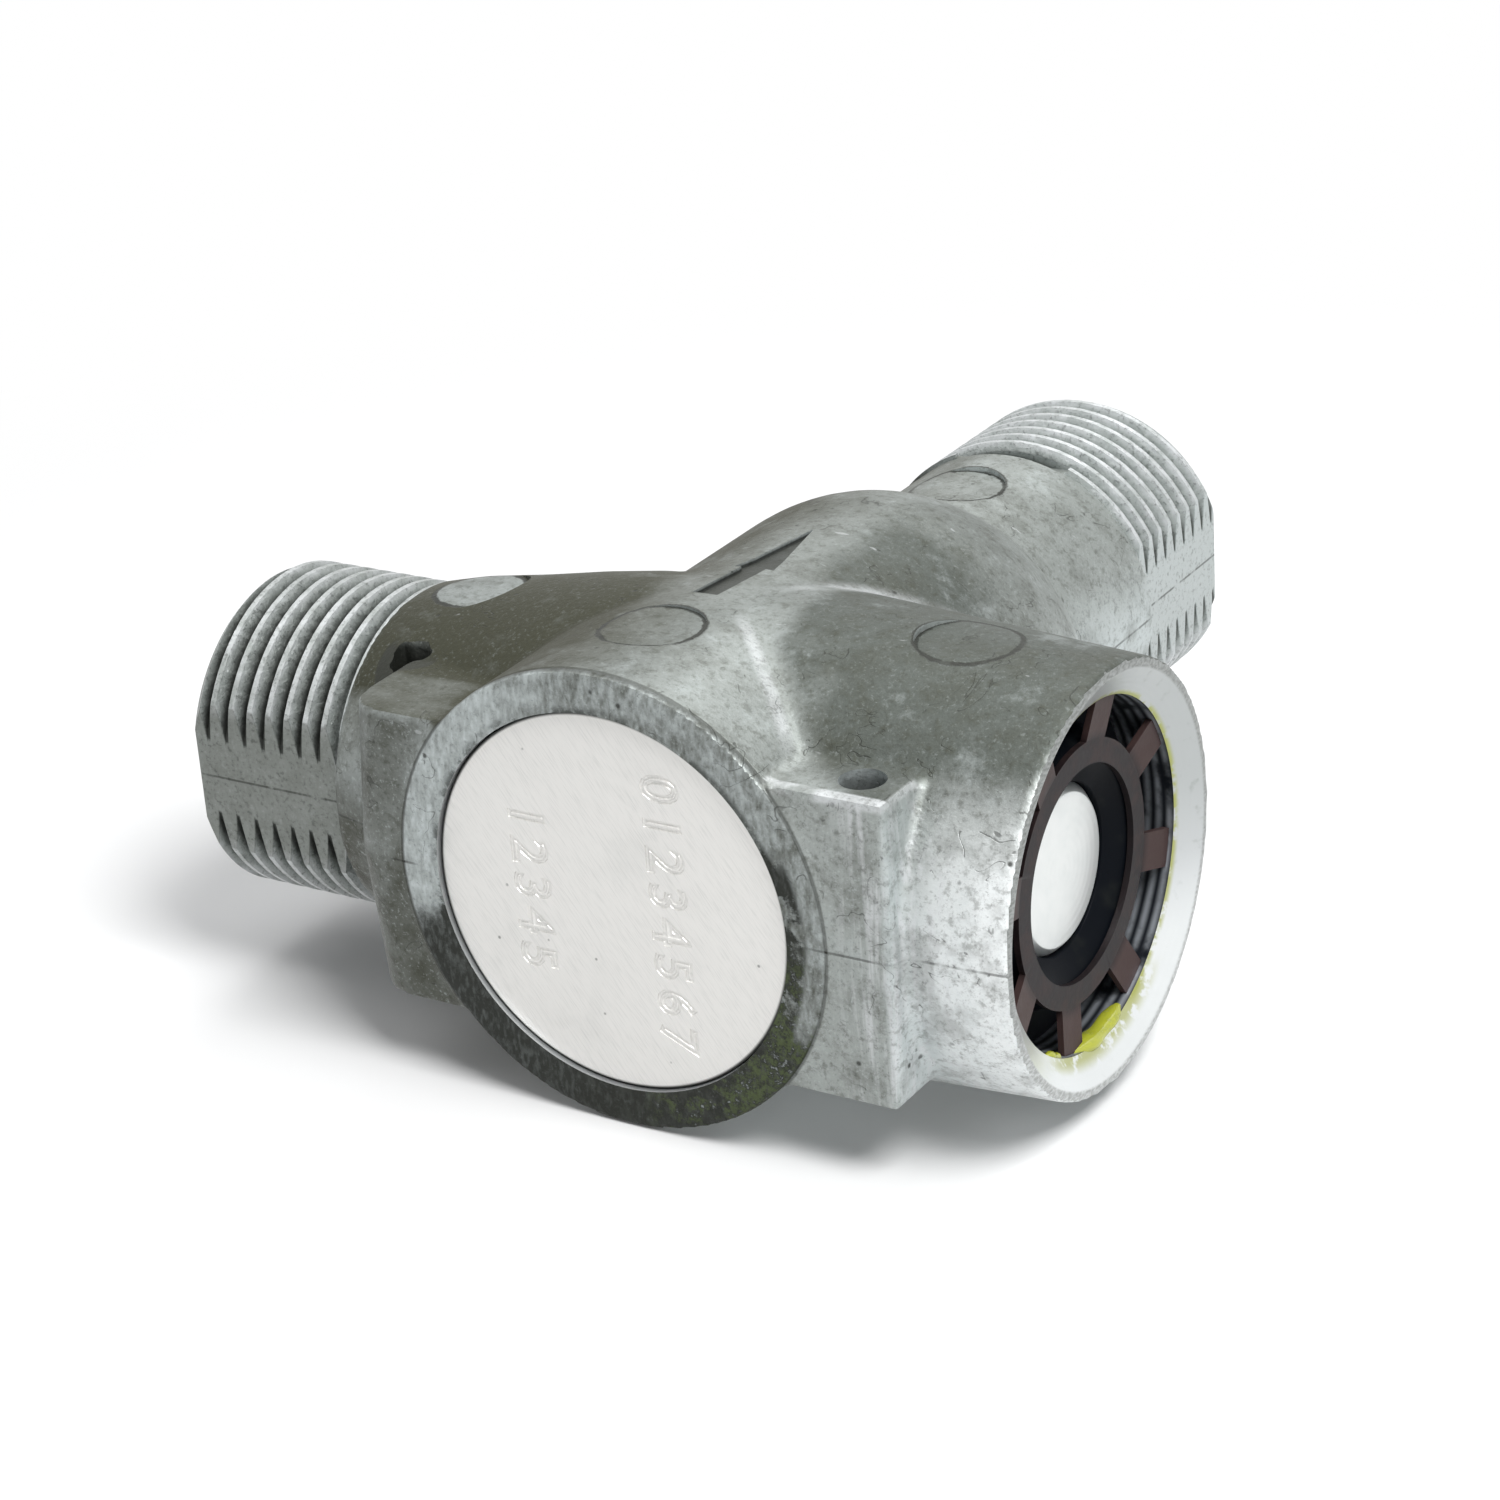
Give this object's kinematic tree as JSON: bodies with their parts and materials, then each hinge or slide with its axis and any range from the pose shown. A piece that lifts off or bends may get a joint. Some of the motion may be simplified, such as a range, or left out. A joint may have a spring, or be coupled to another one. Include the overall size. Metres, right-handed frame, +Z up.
{
  "type": "flow control valve",
  "caption": "Die-cast flow control valve with a threaded inlet and outlet, a sprung push-to-open plunger behind a star retaining ring, and a sprung outlet check poppet.",
  "frame": {"origin": "centre of the inlet port's end face", "axes": "+X along the inlet and plunger axis towards the plunger end, +Y the flow direction out of the outlet port, +Z up"},
  "size_m": [0.0747, 0.0789, 0.0366],
  "materials": {
    "die_cast_aluminium": "satin, weathered",
    "cover_aluminium": "brushed",
    "brass": "machined",
    "plunger_metal": "polished",
    "bush_plastic": "glossy",
    "rubber": "matte",
    "spring_steel": "satin",
    "ring_steel": "brown oxide",
    "stem_steel": "machined",
    "poppet_plastic": "satin"
  },
  "bodies": {
    "housing": {"valve_body": "die_cast_aluminium", "cover_disc": "cover_aluminium", "cover_oring": "rubber", "inlet_seat": "brass", "plunger_seal": "rubber", "guide_bush": "bush_plastic", "guide_bush_oring": "rubber", "return_spring": "spring_steel", "spring_washer": "stem_steel", "bush_circlip": "spring_steel", "retaining_ring": "ring_steel", "cartridge_circlip": "spring_steel", "flow_seat_ring": "brass", "flow_seat_oring": "rubber", "poppet_spring": "spring_steel", "poppet_guide": "poppet_plastic"},
    "plunger_set": {"plunger": "plunger_metal", "valve_stem": "stem_steel", "inlet_valve_disc": "brass", "inlet_valve_seal": "rubber", "stem_nut": "brass"},
    "poppet_set": {"flow_poppet": "poppet_plastic", "poppet_seal": "rubber"}
  },
  "joints": [
    {"name": "plunger_press", "type": "slide", "parent": "housing", "child": "plunger_set", "axis": [-1, 0, 0], "range_m": [0, 0.0045], "stiffness_N_per_m": 3000, "springref_m": -0.003, "deforming": ["return_spring"]},
    {"name": "poppet_lift", "type": "slide", "parent": "housing", "child": "poppet_set", "axis": [0, 1, 0], "range_m": [0, 0.0035], "stiffness_N_per_m": 150, "springref_m": -0.004, "deforming": ["poppet_spring"]}
  ]
}
